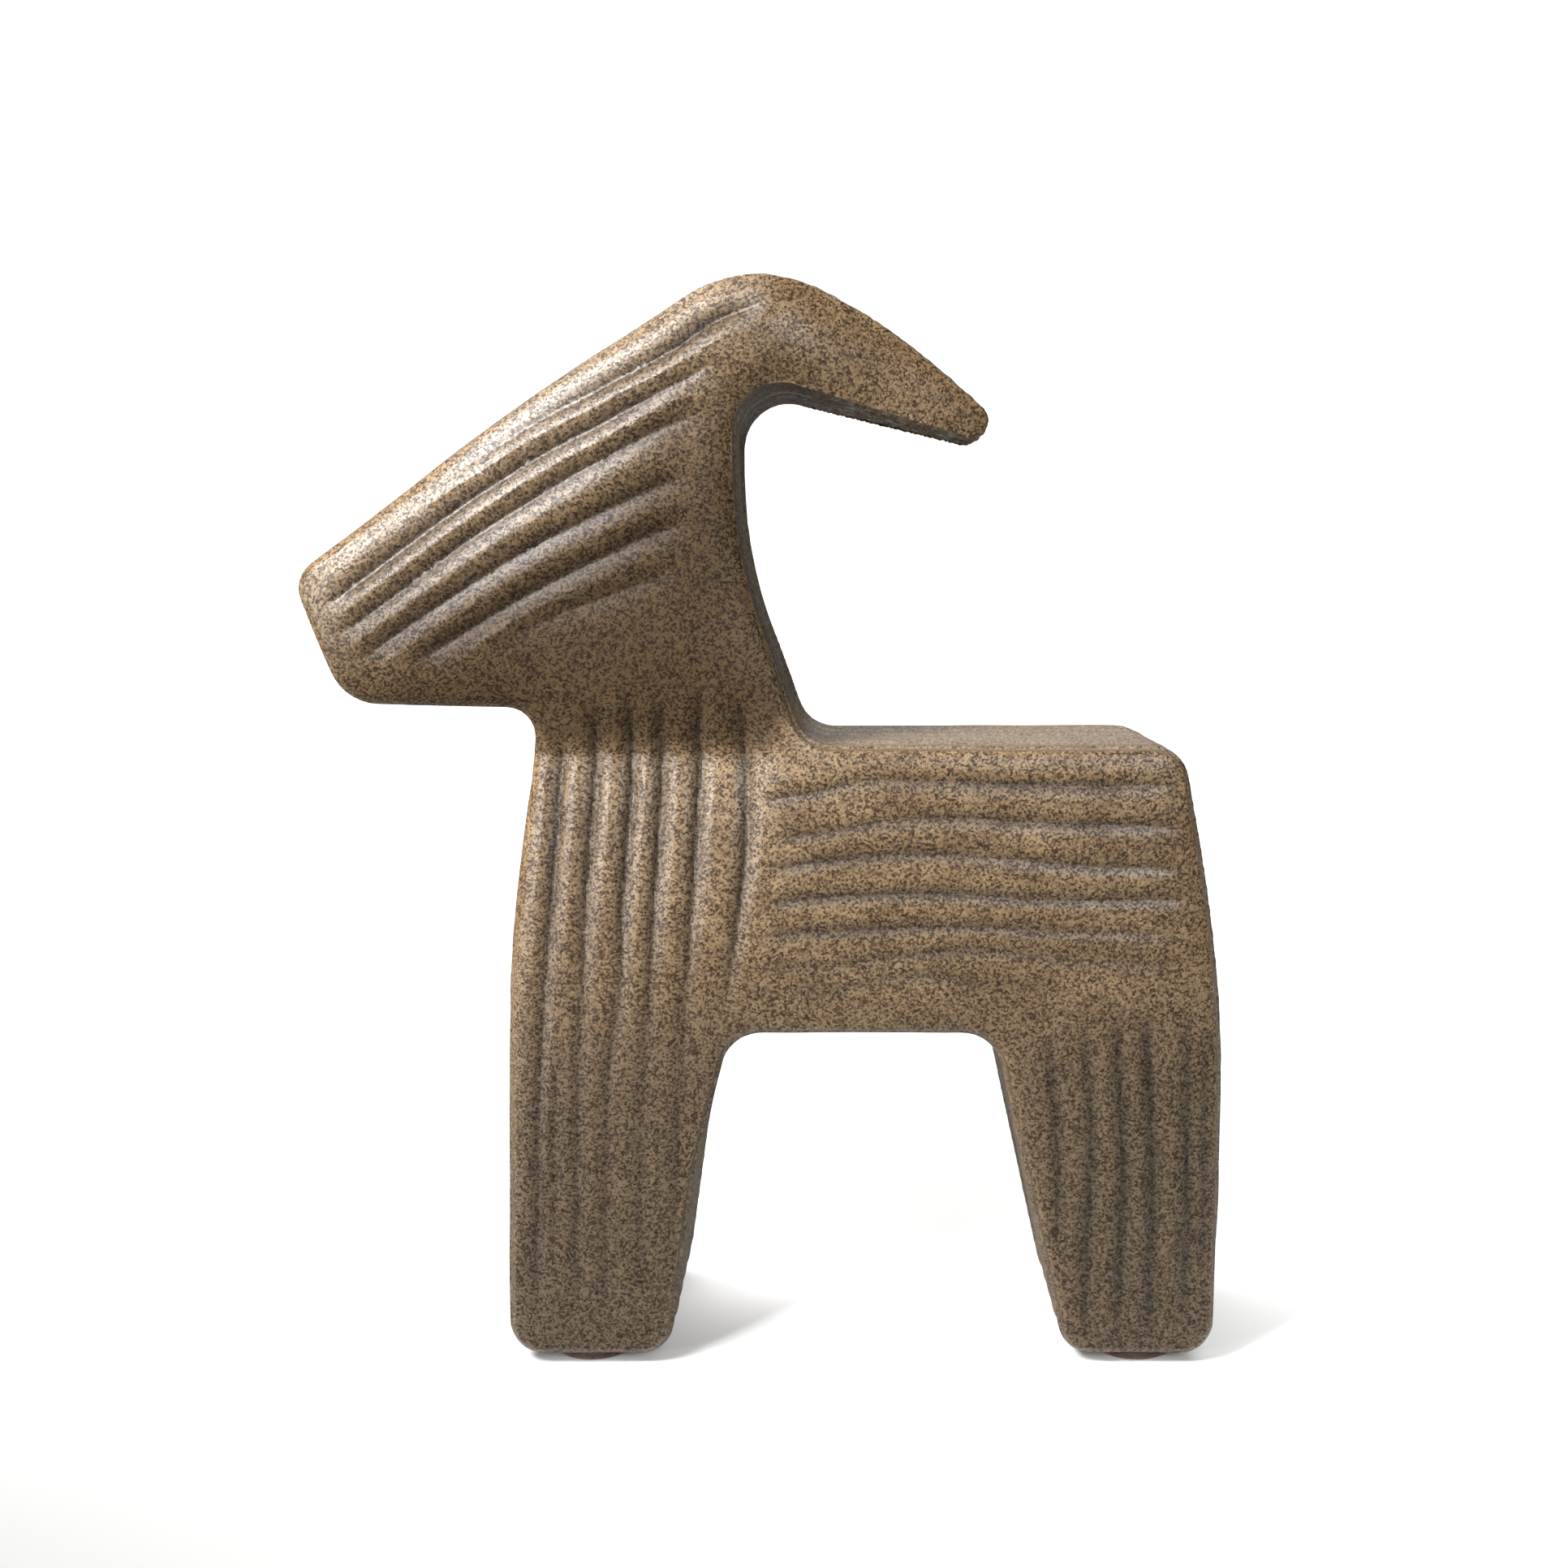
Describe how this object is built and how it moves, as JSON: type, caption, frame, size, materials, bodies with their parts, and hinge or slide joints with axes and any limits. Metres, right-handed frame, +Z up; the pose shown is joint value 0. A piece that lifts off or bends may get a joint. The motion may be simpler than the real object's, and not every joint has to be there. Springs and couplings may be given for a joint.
{
  "type": "yule goat",
  "caption": "Free-standing slab-built stoneware goat: flat combed flanks, block legs, wedge head and a swept-back horn, on felt pads.",
  "frame": {"origin": "on the shelf, under the middle of the goat's length and depth", "axes": "+Z up, the goat faces -X, its left flank is towards -Y"},
  "size_m": [0.199, 0.066, 0.235],
  "materials": {
    "stoneware": "satin speckled glaze",
    "felt": "pressed wool felt"
  },
  "bodies": {
    "root": {"left_side": "stoneware", "right_side": "stoneware", "horn": "stoneware", "forehead_strip": "stoneware", "nape_strip": "stoneware", "back_strip": "stoneware", "rump_strip": "stoneware", "hind_sole": "stoneware", "hind_leg_strip": "stoneware", "belly_strip": "stoneware", "front_leg_strip": "stoneware", "front_sole": "stoneware", "chest_strip": "stoneware", "jaw_strip": "stoneware", "muzzle_strip": "stoneware", "front_left_pad": "felt", "front_right_pad": "felt", "hind_left_pad": "felt", "hind_right_pad": "felt"}
  },
  "joints": []
}
